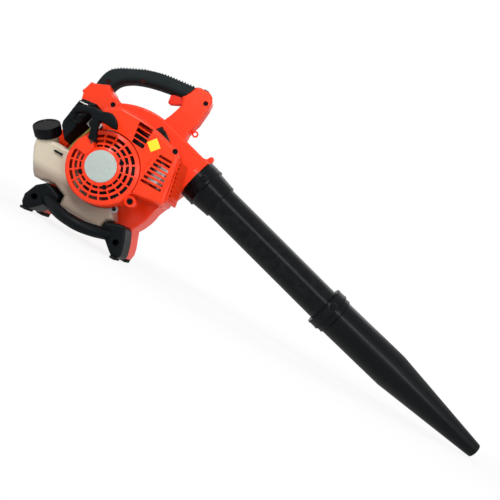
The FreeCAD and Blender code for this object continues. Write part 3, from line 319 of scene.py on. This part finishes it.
# what a plastic doesn't say for itself
plasticBase = {"drift": 0.3, "skin": 900, "relief": 0.1, "reliefDepth": 0.0004, "wear": 0.1,
               "dust": 0.0, "coat": 0.0, "coatRough": 0.1,
               "facing": (0.35, 0.75), "edgeShine": 0.01}  # the shine fades at grazing angles
plastics = {
    "orangeShell": {"colour": (0.95, 0.044, 0.008, 1), "rough": 0.2, "shine": 0.22,
                    "skin": 700, "relief": 0.008, "wear": 0.06, "worn": (1, 0.2, 0.1, 1)},
    "triggerRed": {"colour": (0.75, 0.03, 0.012, 1), "rough": 0.28, "shine": 0.12,
                   "drift": 0.2, "skin": 800, "relief": 0.04, "worn": (1, 0.3, 0.2, 1)},
    "satinBlack": {"colour": (0.0025, 0.0045, 0.0055, 1), "rough": 0.34, "shine": 0.09,
                   "drift": 0.4, "skin": 1100, "relief": 0.2, "wear": 0.15,
                   "worn": (0.03, 0.035, 0.035, 1), "dust": 0.006},
    "gripBlack": {"colour": (0.008, 0.013, 0.014, 1), "rough": 0.5, "shine": 0.1,
                  "drift": 0.4, "skin": 1500, "relief": 0.4, "wear": 0.15,
                  "worn": (0.04, 0.05, 0.05, 1), "dust": 0.008},
    "glossBlack": {"colour": (0.0012, 0.0018, 0.0026, 1), "rough": 0.15, "shine": 0.1,
                   "skin": 700, "relief": 0.01, "worn": (0.03, 0.03, 0.03, 1)},
    # dark red for the grip's screw wells: painted shade standing for their shadowed hollows
    "wellShadeRed": {"colour": (0.025, 0.003, 0.002, 1), "rough": 0.5, "shine": 0.1,
                "worn": (0.1, 0.02, 0.02, 1)},
    "blackScrew": {"colour": (0.002, 0.003, 0.004, 1), "rough": 0.4, "shine": 0.06,
                   "wear": 0.2, "worn": (0.08, 0.09, 0.1, 1)},
    "tubeBlack": {"colour": (0.0006, 0.0014, 0.0022, 1), "rough": 0.22, "shine": 0.13,
                  "drift": 0.2, "skin": 500, "relief": 0.006, "worn": (0.03, 0.04, 0.04, 1),
                  "dust": 0.003},
    "footRubber": {"colour": (0.008, 0.008, 0.008, 1), "rough": 0.75, "shine": 0.2,
                   "drift": 0.4, "skin": 1300, "relief": 0.4, "wear": 0.0,
                   "worn": (0.1, 0.1, 0.1, 1), "dust": 0.06},
    "darkMoulding": {"colour": (0.012, 0.012, 0.013, 1), "rough": 0.45, "shine": 0.3,
                     "drift": 0.4, "relief": 0.2, "wear": 0.2,
                     "worn": (0.06, 0.06, 0.06, 1), "dust": 0.03},
    "fuelHose": {"colour": (0.5, 0.52, 0.12, 1), "rough": 0.35, "shine": 0.4, "relief": 0.06,
                 "wear": 0.0, "worn": white, "coat": 0.2},
    "labelYellow": {"colour": (0.8, 0.68, 0.02, 1), "rough": 0.35, "shine": 0.2,
                    "drift": 0.15, "relief": 0.03, "worn": (1, 1, 0.6, 1), "dust": 0.01,
                    "coat": 0.2},
}


def plasticMaterial(name):
    made = {**plasticBase, **plastics[name]}
    material, nodes, links, shader = newMaterial(name)
    weight = nodes.new("ShaderNodeLayerWeight")
    setInputs(weight, {"Blend": 0.5})
    links.new(mapRange(nodes, links, weight.outputs["Facing"], *made["facing"],
                       made["shine"], made["edgeShine"]), shader.inputs["Specular IOR Level"])
    setInputs(shader, {"Coat Weight": made["coat"], "Coat Roughness": made["coatRough"]})
    skin = putGroup(nodes, mouldGroup, {"Colour": made["colour"], "Drift": made["drift"],
                                        "Skin Scale": made["skin"],
                                        "Roughness": made["rough"]})
    edges = putGroup(nodes, wearGroup, {"Worn Colour": made["worn"], "Amount": made["wear"]})
    veil = putGroup(nodes, dustGroup, {"Amount": made["dust"]})
    links.new(skin.outputs["Colour"], edges.inputs["Colour"])
    links.new(edges.outputs["Colour"], veil.inputs["Colour"])
    links.new(veil.outputs["Colour"], shader.inputs["Base Color"])
    links.new(skin.outputs["Roughness"], shader.inputs["Roughness"])
    addRelief(nodes, links, shader, skin.outputs["Height"], made["relief"],
              made["reliefDepth"])
    return material


metalBase = {"detail": 5, "range": (0.3, 0.7), "darkShare": 0.6, "roughRange": (0.8, 1.3),
             "worn": (0.9, 0.9, 0.88, 1), "wear": 0.4, "reliefDepth": 0.0003,
             "stretch": (1, 1, 1)}
metals = {
    "castAlloy": {"colour": (0.42, 0.42, 0.42, 1), "rough": 0.5, "grain": 220, "relief": 0.5},
    "darkCast": {"colour": (0.06, 0.06, 0.065, 1), "rough": 0.55, "grain": 220,
                 "relief": 0.5},
    "plainSteel": {"colour": (0.66, 0.65, 0.62, 1), "rough": 0.28, "grain": 90, "relief": 0.2,
                   "stretch": (1, 8, 1)},
    "emblemSilver": {"colour": (0.5, 0.56, 0.53, 1), "rough": 0.5, "grain": 160,
                     "relief": 0.1, "stretch": (12, 1, 1)},
}


def shadeOf(colour, share):
    return tuple(part * share for part in colour[:3]) + (1,)


# bare metal, its grain stretched into brush marks where asked
def metalMaterial(name):
    made = {**metalBase, **metals[name]}
    material, nodes, links, shader = newMaterial(name)
    setInputs(shader, {"Metallic": 1})
    where = nodes.new("ShaderNodeTexCoord")
    mapping = nodes.new("ShaderNodeMapping")
    setInputs(mapping, {"Scale": made["stretch"]})
    noise = nodes.new("ShaderNodeTexNoise")
    setInputs(noise, {"Scale": made["grain"], "Detail": made["detail"]})
    links.new(where.outputs["Object"], mapping.inputs["Vector"])
    links.new(mapping.outputs[0], noise.inputs["Vector"])
    grain = noise.outputs["Fac"]
    edges = putGroup(nodes, wearGroup, {"Worn Colour": made["worn"], "Amount": made["wear"]})
    dark = shadeOf(made["colour"], made["darkShare"])
    factor = mapRange(nodes, links, grain, *made["range"])
    links.new(mixColour(nodes, links, factor, dark, made["colour"]), edges.inputs["Colour"])
    links.new(edges.outputs["Colour"], shader.inputs["Base Color"])
    low, high = (made["rough"] * share for share in made["roughRange"])
    links.new(mapRange(nodes, links, grain, *made["range"], low, high),
              shader.inputs["Roughness"])
    addRelief(nodes, links, shader, grain, made["relief"], made["reliefDepth"])
    return material


tankLook = {
    # the low colour stands for the fuel behind the plastic and for painted shade under the starter
    "clear": (0.62, 0.55, 0.42, 1), "fuel": (0.33, 0.26, 0.2, 1), "lowLevel": 76,
    "highLevel": 92, "skin": {"Drift": 0.25, "Skin Scale": 500, "Roughness": 0.33},
    "dust": 0.04, "relief": 0.1, "reliefDepth": 0.0005,
    "glow": {"Subsurface Weight": 0.3, "Subsurface Radius": (0.02, 0.014, 0.01),
             "Subsurface Scale": 0.4},
}


# milky plastic, browner low down: the fuel behind it, and painted shade under the starter
def tankMaterial(name):
    made = tankLook
    material, nodes, links, shader = newMaterial(name)
    setInputs(shader, made["glow"])
    where = nodes.new("ShaderNodeTexCoord")
    split = nodes.new("ShaderNodeSeparateXYZ")
    links.new(where.outputs["Object"], split.inputs[0])
    level = mapRange(nodes, links, split.outputs["Z"], made["lowLevel"] * mm,
                     made["highLevel"] * mm)
    skin = putGroup(nodes, mouldGroup, made["skin"])
    links.new(mixColour(nodes, links, level, made["fuel"], made["clear"]),
              skin.inputs["Colour"])
    veil = putGroup(nodes, dustGroup, {"Amount": made["dust"]})
    links.new(skin.outputs["Colour"], veil.inputs["Colour"])
    links.new(veil.outputs["Colour"], shader.inputs["Base Color"])
    links.new(skin.outputs["Roughness"], shader.inputs["Roughness"])
    addRelief(nodes, links, shader, skin.outputs["Height"], made["relief"],
              made["reliefDepth"])
    return material


weaveBase = {"rough": 0.9, "range": (0.1, 0.6), "darkShare": 0.3, "relief": 0.6,
             "reliefDepth": 0.0006}
weaves = {"braidedRope": {"colour": (0.12, 0.12, 0.12, 1), "cells": 900},
          "filterFoam": {"colour": (0.2, 0.2, 0.19, 1), "cells": 600}}


# small cells: the braid of the rope and the open foam of the filter
def weaveMaterial(name):
    made = {**weaveBase, **weaves[name]}
    material, nodes, links, shader = newMaterial(name)
    setInputs(shader, {"Roughness": made["rough"]})
    where = nodes.new("ShaderNodeTexCoord")
    cells = nodes.new("ShaderNodeTexVoronoi")
    setInputs(cells, {"Scale": made["cells"]})
    links.new(where.outputs["Object"], cells.inputs["Vector"])
    distance = cells.outputs["Distance"]
    factor = mapRange(nodes, links, distance, *made["range"])
    dark = shadeOf(made["colour"], made["darkShare"])
    links.new(mixColour(nodes, links, factor, dark, made["colour"]),
              shader.inputs["Base Color"])
    addRelief(nodes, links, shader, distance, made["relief"], made["reliefDepth"])
    return material


materials = {name: plasticMaterial(name) for name in plastics}
materials["milkyTank"] = tankMaterial("milkyTank")
materials.update({name: metalMaterial(name) for name in metals})
materials.update({name: weaveMaterial(name) for name in weaves})

slotFinish = {
    "orange_plastic": "orangeShell", "trigger_plastic": "triggerRed",
    "black_satin": "satinBlack", "grip_black": "gripBlack", "tube_black": "tubeBlack",
    "foot_rubber": "footRubber", "tank_plastic": "milkyTank", "cast_alloy": "castAlloy",
    "steel": "plainSteel", "emblem_silver": "emblemSilver", "black_screws": "blackScrew",
    "dark_moulding": "darkMoulding", "filter_foam": "filterFoam", "rope": "braidedRope",
    "fuel_hose": "fuelHose",
}
# nodes whose finish differs from that of their slot
nodeFinish = {"flywheel": "darkCast", "cylinder": "darkCast", "tank_bolt": "castAlloy",
              "starter_reel": "darkMoulding", "fan_impeller": "satinBlack"}


def dressCadNodes():
    slotOf = {part["node"]: part["material_slot"] for part in frame["record"]["subparts"]}
    for name, node in frame["nodes"].items():
        finish = nodeFinish.get(name, slotFinish[slotOf[name]])
        for slot in node.material_slots:
            slot.material = materials[finish]


dressCadNodes()
print("materials are on the frame's nodes")


def startBlock(name, centre, size):
    bpy.ops.object.select_all(action="DESELECT")
    bpy.ops.mesh.primitive_cube_add(size=1, location=spot(*centre))
    piece = bpy.context.object
    piece.name = name
    piece.scale = [side * mm for side in size]
    bpy.ops.object.transform_apply(location=True, rotation=True, scale=True)
    return piece


# a cylinder that faces the starter's side unless it is given another axis
def startRound(name, centre, radius, length, sides, axis=(0, -1, 0), caps="NGON"):
    bpy.ops.object.select_all(action="DESELECT")
    turn = Vector(axis).to_track_quat("Z", "Y").to_euler()
    bpy.ops.mesh.primitive_cylinder_add(vertices=sides, radius=radius * mm, depth=length * mm,
                                        end_fill_type=caps, location=spot(*centre),
                                        rotation=turn)
    piece = bpy.context.object
    piece.name = name
    bpy.ops.object.transform_apply(location=True, rotation=True, scale=True)
    return piece


# back from metres to millimetres from the crank
def placeOf(point):
    return Vector(((point.x - crankX) / mm, (point.y - splitY) / mm, point.z / mm))


# faces are picked by their middle, in millimetres from the crank, and by their normal
def pickFaces(piece, test):
    bpy.ops.object.mode_set(mode="EDIT")
    bpy.ops.mesh.select_mode(type="FACE")
    bpy.ops.mesh.select_all(action="DESELECT")
    bpy.ops.object.mode_set(mode="OBJECT")
    for face in piece.data.polygons:
        face.select = test(placeOf(face.center), face.normal)
    bpy.ops.object.mode_set(mode="EDIT")


def facesFront(place, normal):
    return normal.y < -0.9


def pickedMiddle(piece):
    bpy.ops.object.mode_set(mode="OBJECT")
    chosen = [v.co for v in piece.data.vertices if v.select]
    middle = sum(chosen, Vector()) / len(chosen)
    bpy.ops.object.mode_set(mode="EDIT")
    return middle


def turnPicked(degrees, middle):
    bpy.ops.transform.rotate(value=math.radians(degrees), orient_axis="Y",
                             center_override=middle)


def drawOut(piece, step, keep=(1, 1, 1), turn=0):
    bpy.ops.mesh.extrude_region_move(TRANSFORM_OT_translate={"value": [v * mm for v in step]})
    middle = pickedMiddle(piece)
    bpy.ops.transform.resize(value=keep, center_override=middle)
    if turn:
        turnPicked(turn, middle)


# leaves a border round the picked face and sinks the rest; a minus depth raises it
def sinkFace(piece, border, depth, keep=(1, 1, 1)):
    bpy.ops.mesh.inset(thickness=border * mm)
    drawOut(piece, (0, depth, 0), keep)


def applyModifier(piece, kind, **settings):
    bpy.ops.object.mode_set(mode="OBJECT")
    modifier = piece.modifiers.new(kind.lower(), kind)
    for label, value in settings.items():
        setattr(modifier, label, value)
    bpy.ops.object.modifier_apply(modifier=modifier.name)


# rounds every edge sharper than the angle
def roundEdges(piece, width, segments, angle=30):
    applyModifier(piece, "BEVEL", width=width * mm, segments=segments, limit_method="ANGLE",
                  angle_limit=math.radians(angle))


def finishPiece(piece, riding, finish):
    bpy.ops.object.mode_set(mode="EDIT")
    bpy.ops.mesh.select_all(action="SELECT")
    bpy.ops.mesh.normals_make_consistent(inside=False)
    bpy.ops.object.mode_set(mode="OBJECT")
    bpy.ops.object.shade_smooth_by_angle(angle=math.radians(35))
    piece.data.materials.clear()
    piece.data.materials.append(materials[finish])
    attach(piece, riding)


def joinPieces(name, pieces):
    bpy.ops.object.select_all(action="DESELECT")
    for piece in pieces:
        piece.select_set(True)
    bpy.context.view_layer.objects.active = pieces[0]
    bpy.ops.object.join()
    pieces[0].name = name
    return pieces[0]


pullGrip = {
    "centre": (-41, -163, 212), "size": (16, 18, 17), "round": (2.5, 2, 40), "smoothing": 2,
    # each step out: the way it goes, the sizes kept across and the turn in degrees
    "right": [((4, 0, 2), (1, 1.1, 1.15), 0), ((9, 0, 1), (1, 1.1, 1.1), -10),
              ((9, 1, -4), (1, 0.9, 0.8), -25), ((4, 1, -7), (1, 0.6, 0.6), -30)],
    "left": [((-5, 0, 1), (1, 0.9, 0.75), 0), ((-11, 0, -3), (1, 1, 0.9), 18),
             ((-12, 0, -7), (1, 0.95, 0.95), 22), ((-6, 1, -8), (1, 0.7, 0.7), 20)],
    "stem": [((1, 5, -7), (0.85, 0.75, 1)), ((2, 5, -11), (0.95, 0.9, 1)),
             ((3, 6, -12), (1.2, 1.2, 1)), ((1, 2, -5), (1.25, 1.1, 1))],
}


# the T-shaped pull: two drooping wings and a stem down to the rope
def modelPullGrip():
    made = pullGrip
    centre, size = made["centre"], made["size"]
    piece = startBlock("starterPull", centre, size)
    for side, sign in (("right", 1), ("left", -1)):
        edge = centre[0] + sign * size[0] / 2
        pickFaces(piece, lambda place, normal: abs(place.x - edge) < 0.1)
        for step in made[side]:
            drawOut(piece, *step)
    under = centre[2] - size[2] / 2
    pickFaces(piece, lambda place, normal: normal.z < -0.9 and abs(place.z - under) < 0.1
              and abs(place.x - centre[0]) < 2)
    for step in made["stem"]:
        drawOut(piece, *step)
    roundEdges(piece, *made["round"])
    applyModifier(piece, "SUBSURF", levels=made["smoothing"])
    finishPiece(piece, "pull", "satinBlack")
    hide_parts("starter_handle")


modelPullGrip()

gripRidges = {
    # x and height above the crank, along the top of the grip
    "path": [(-114, 184.4), (-100, 195.4), (-76, 207.4), (-57, 216.4), (-15, 227.9),
             (22, 232.4), (44, 235)],
    "pitch": 6, "size": (3, 22, 3.6), "taper": (0.6, 0.9, 1), "lift": 0.1, "round": (0.9, 2),
}


# a cross ridge every few millimetres along the top of the grip
def modelGripRidges():
    made = gripRidges
    first = startBlock("gripRidges", (0, 0, 0), made["size"])
    pickFaces(first, lambda place, normal: normal.z > 0.9)
    bpy.ops.transform.resize(value=made["taper"], center_override=pickedMiddle(first))
    roundEdges(first, *made["round"])
    ridges = []
    along = 0.0
    for (xa, za), (xb, zb) in zip(made["path"], made["path"][1:]):
        length = math.hypot(xb - xa, zb - za)
        slope = math.atan2(zb - za, xb - xa)
        while along < length:
            share = along / length
            x = xa + (xb - xa) * share - made["lift"] * math.sin(slope)
            z = za + (zb - za) * share + crankZ / mm + made["lift"] * math.cos(slope)
            ridge = first.copy()
            ridge.data = first.data.copy()
            bpy.context.collection.objects.link(ridge)
            ridge.data.transform(Matrix.Translation(spot(x, 0, z))
                                 @ Matrix.Rotation(-slope, 4, "Y")
                                 @ Matrix.Translation(-spot(0, 0, 0)))
            ridges.append(ridge)
            along += made["pitch"]
        along -= length
    bpy.data.objects.remove(first)
    finishPiece(joinPieces("gripRidges", ridges), "machine", "gripBlack")


modelGripRidges()
print("starter pull and grip ridges are modelled")

capKnurl = {"radius": 25.2, "height": 19.4, "sides": 72, "groove": 0.4, "grooveGap": 0.25,
            "rim": 4, "dishBorder": 3, "dishSlope": 1.2, "dish": 1.2, "round": (1.6, 3, 60)}


# the fuel cap: a fluted skirt under a plain rim, and a shallow dish in the top
def modelFuelCap():
    made = capKnurl
    axis = next(Vector(joint["axis"]) for joint in frame["joints"]
                if joint["name"] == "cap_turn").normalized()
    low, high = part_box("fuel_cap")
    middle = (low + high) / 2
    piece = startRound("fuelCapKnurled", placeOf(middle), made["radius"], made["height"],
                       made["sides"], axis)
    bpy.ops.object.mode_set(mode="EDIT")
    bpy.ops.mesh.select_all(action="SELECT")
    rim = middle + axis * (made["height"] / 2 - made["rim"]) * mm
    bpy.ops.mesh.bisect(plane_co=rim, plane_no=axis)
    bpy.ops.object.mode_set(mode="OBJECT")
    skirt = [face for face in piece.data.polygons
             if abs(face.normal.dot(axis)) < 0.1 and (face.center - rim).dot(axis) < 0]
    across = axis.orthogonal().normalized()
    skirt.sort(key=lambda face: math.atan2((face.center - middle).dot(axis.cross(across)),
                                           (face.center - middle).dot(across)))
    grooves = {face.index for face in skirt[::2]}
    for face in piece.data.polygons:
        face.select = face.index in grooves
    bpy.ops.object.mode_set(mode="EDIT")
    bpy.ops.mesh.inset(thickness=made["grooveGap"] * mm, use_individual=True)
    bpy.ops.transform.shrink_fatten(value=-made["groove"] * mm)
    pickFaces(piece, lambda place, normal: normal.dot(axis) > 0.95)
    bpy.ops.mesh.inset(thickness=made["dishBorder"] * mm)
    bpy.ops.mesh.inset(thickness=made["dishSlope"] * mm, depth=-made["dish"] * mm)
    roundEdges(piece, *made["round"])
    finishPiece(piece, "cap", "glossBlack")
    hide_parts("fuel_cap")


modelFuelCap()

labelPlate = {"centre": (61, -130.2, 217.5), "size": (19, 0.9, 19), "turn": 50, "border": 1.8,
              "raised": 0.2, "taper": (0.96, 1, 0.96), "round": (0.3, 2)}


# a bare yellow plate with nothing written on it
def modelLabel():
    made = labelPlate
    piece = startBlock("labelPlate", made["centre"], made["size"])
    bpy.ops.object.mode_set(mode="EDIT")
    bpy.ops.mesh.select_all(action="SELECT")
    turnPicked(made["turn"], spot(*made["centre"]))
    pickFaces(piece, facesFront)
    sinkFace(piece, made["border"], -made["raised"], made["taper"])
    roundEdges(piece, *made["round"])
    finishPiece(piece, "machine", "labelYellow")


modelLabel()


# bars that narrow to the front and lean over, joined into one piece
def modelBars(name, made, finish):
    bars = []
    for centre, size, lean in made["bars"]:
        bar = startBlock(name, centre, size)
        pickFaces(bar, facesFront)
        bpy.ops.transform.resize(value=made["taper"], center_override=pickedMiddle(bar))
        bpy.ops.mesh.select_all(action="SELECT")
        turnPicked(lean, spot(*centre))
        roundEdges(bar, *made["round"])
        bars.append(bar)
    finishPiece(joinPieces(name, bars), "machine", finish)


coverRidges = {
    # middle, size and lean of each ridge raised on the engine cover
    "bars": [((-22, -130.4, 226), (5, 2.4, 27), -8), ((9, -130.4, 222), (4, 2.2, 24), -10),
             ((68, -130.4, 187), (3.5, 2.2, 44), -6), ((117, -130.2, 172), (3, 1.8, 60), 4)],
    "taper": (0.35, 1, 0.9), "round": (1, 3),
}

modelBars("coverRidges", coverRidges, "orangeShell")

screwCups = {
    # sunk screws on the near side: x, y of the face, z and radius
    "blackScrew": [(83, -15.2, 352, 5.4), (-66.8, -41.4, 256.6, 5.4), (100, -130.5, 226.5, 5),
                   (29.9, -142.6, 160, 4.2), (23.9, -142.6, 107.1, 4.2),
                   (-28, -142.6, 110.9, 4.2), (48.5, -101.8, 82, 3.8)],
    # the dark red cups are painted shade in two shaded screw wells on the grip
    "wellShadeRed": [(-106, -16.5, 295.5, 5), (-46.4, -16.5, 330.2, 5)],
    "length": 1.2, "sides": 32, "lip": 1.1, "sunk": 0.9, "round": (0.25, 2, 40),
    # borders of the head and of its socket are shares of the radius
    "headBorder": 0.18, "headRaised": 0.6, "socketBorder": 0.2, "socketSunk": 0.4,
}


# a cup with a rounded lip and a socket head for each sunk screw
def modelScrewCups(finish):
    made = screwCups
    cups = []
    for x, y, z, radius in made[finish]:
        cup = startRound("screwCup", (x, y, z), radius, made["length"], made["sides"])
        pickFaces(cup, facesFront)
        sinkFace(cup, made["lip"], made["sunk"])
        sinkFace(cup, made["headBorder"] * radius, -made["headRaised"])
        sinkFace(cup, made["socketBorder"] * radius, made["socketSunk"])
        roundEdges(cup, *made["round"])
        cups.append(cup)
    finishPiece(joinPieces(finish + "Cups", cups), "machine", finish)


# black screws, then the dark red cups of painted shade in the grip's wells
for cupFinish in ("blackScrew", "wellShadeRed"):
    modelScrewCups(cupFinish)
print("fuel cap, label, cover ridges and screw cups are modelled")


# a round stud with a hollow in its front
def modelStud(name, made, centre, finish):
    stud = startRound(name, centre, made["radius"], made["length"], made["sides"])
    pickFaces(stud, facesFront)
    sinkFace(stud, made["border"], made["sunk"])
    roundEdges(stud, *made["round"])
    finishPiece(stud, "machine", finish)


starterLug = {"centre": (72, -111, 108), "radius": 10, "length": 30, "sides": 40,
              "border": 2.6, "sunk": 2.5, "round": (0.8, 3, 40)}
lugScrew = {"inset": 1.6, "radius": 5.2, "length": 3, "sides": 32, "border": 2.6, "sunk": 1.6,
            "round": (0.4, 2, 40)}


# the lug that bolts the starter to the casing, and its black screw
def modelStarterLug():
    x, y, z = starterLug["centre"]
    modelStud("starterLug", starterLug, (x, y, z), "orangeShell")
    screwY = y - starterLug["length"] / 2 + lugScrew["inset"]
    modelStud("starterLugScrew", lugScrew, (x, screwY, z), "blackScrew")


modelStarterLug()

# the middle lines of the two tubes: where they start and how many degrees they drop
pipeLine = {"start": (139, 0, 216), "slope": 15.35, "riding": "pipe"}
nozzleLine = {"start": (504.5, 0, 115.7), "slope": 14.3, "riding": "nozzle_end"}

bands = {
    "collarBandFront": {"line": pipeLine, "along": 14, "radius": 42.8, "width": 2.2,
                        "height": 0.5},
    "collarBandBack": {"line": pipeLine, "along": 26.2, "radius": 42.8, "width": 3,
                       "height": 0.8},
    "collarBandTail": {"line": pipeLine, "along": 64, "radius": 36.8, "width": 3.4,
                       "height": 0.9},
    "couplingBandFront": {"line": nozzleLine, "along": -19, "radius": 42.8, "width": 3.4,
                          "height": 0.7},
    "couplingBandBack": {"line": nozzleLine, "along": -2.5, "radius": 42.8, "width": 3,
                         "height": 0.7},
    "sleeveBand": {"line": nozzleLine, "along": 10, "radius": 40.2, "width": 2.4,
                   "height": 0.8},
}
bandLook = {"buried": 0.4, "sides": 96, "round": (0.6, 3, 50)}


# a raised ring round the tube, closed by its own thickness
def modelBand(name):
    made = bands[name]
    line = made["line"]
    slope = math.radians(line["slope"])
    direction = Vector((math.cos(slope), 0, -math.sin(slope)))
    piece = startRound(name, Vector(line["start"]) + direction * made["along"],
                       made["radius"], made["width"], bandLook["sides"], direction, "NOTHING")
    applyModifier(piece, "SOLIDIFY", thickness=(made["height"] + bandLook["buried"]) * mm,
                  offset=1)
    roundEdges(piece, *bandLook["round"])
    finishPiece(piece, line["riding"], "tubeBlack")


for bandName in bands:
    modelBand(bandName)
print("starter lug and pipe bands are modelled")

filterBars = {
    # middle, size and lean of each bar across the filter cover's face
    "bars": [((-87, -117, 223), (26, 4, 5), 12), ((-89, -116.6, 212), (23, 3, 4), 10),
             ((-91, -116.6, 200), (20, 3, 4), 6), ((-93, -116.6, 184), (16, 3, 4), 0)],
    "taper": (0.9, 1, 0.6), "round": (1.2, 3),
}
# bright steel clip on the cover's top edge, partly a painted highlight
filterClipGlint = {"centre": (-93, -119, 222), "size": (10, 1.6, 2.6), "round": (0.4, 3),
              "bends": [((5, 0.3, 1.2), (1, 0.9, 0.8), -6),
                        ((3, 1.2, 0.4), (1, 0.8, 0.8), -10)]}
filterKnob = {"centre": (-85, -119, 191), "radius": 8, "length": 7, "sides": 24, "border": 2,
              "sunk": 1.5, "round": (0.9, 3, 40)}


# the bright spring clip, bent out at its end; its bright steel also stands for the glossy highlight on the cover's
# top edge, a painted highlight
def modelFilterClipGlint():
    made = filterClipGlint
    clip = startBlock("filterClipGlint", made["centre"], made["size"])
    pickFaces(clip, lambda place, normal: normal.x > 0.9)
    for bend in made["bends"]:
        drawOut(clip, *bend)
    roundEdges(clip, *made["round"])
    finishPiece(clip, "machine", "plainSteel")


modelBars("filterBars", filterBars, "glossBlack")
modelFilterClipGlint()
modelStud("filterKnob", filterKnob, filterKnob["centre"], "glossBlack")

heelTab = {"centre": (-132, -20, 255), "size": (9, 14, 7), "finish": "orangeShell",
           "slot": "orange_plastic"}
# a dark block laid in the gap between the tank and its neck: painted shade
tankGapShade = {"centre": (-90.5, -102, 122), "size": (14, 4, 4), "finish": "satinBlack",
            "slot": "black_satin"}
tabEnd = {"share": 0.25, "taper": (1, 0.7, 0.65), "round": 0.2, "segments": 3}


# a small block drawn in at its rear end and rounded by a share of its thickness
def modelTab(name, made):
    size = made["size"]
    piece = startBlock(name, made["centre"], size)
    pickFaces(piece, lambda place, normal: normal.x < -0.9)
    drawOut(piece, (-size[0] * tabEnd["share"], 0, 0), tabEnd["taper"])
    roundEdges(piece, min(size) * tabEnd["round"], tabEnd["segments"])
    finishPiece(piece, "machine", made["finish"])


modelTab("heelTab", heelTab)
modelTab("tankGapShade", tankGapShade)
print("filter trim, heel tab and hose clip are modelled")
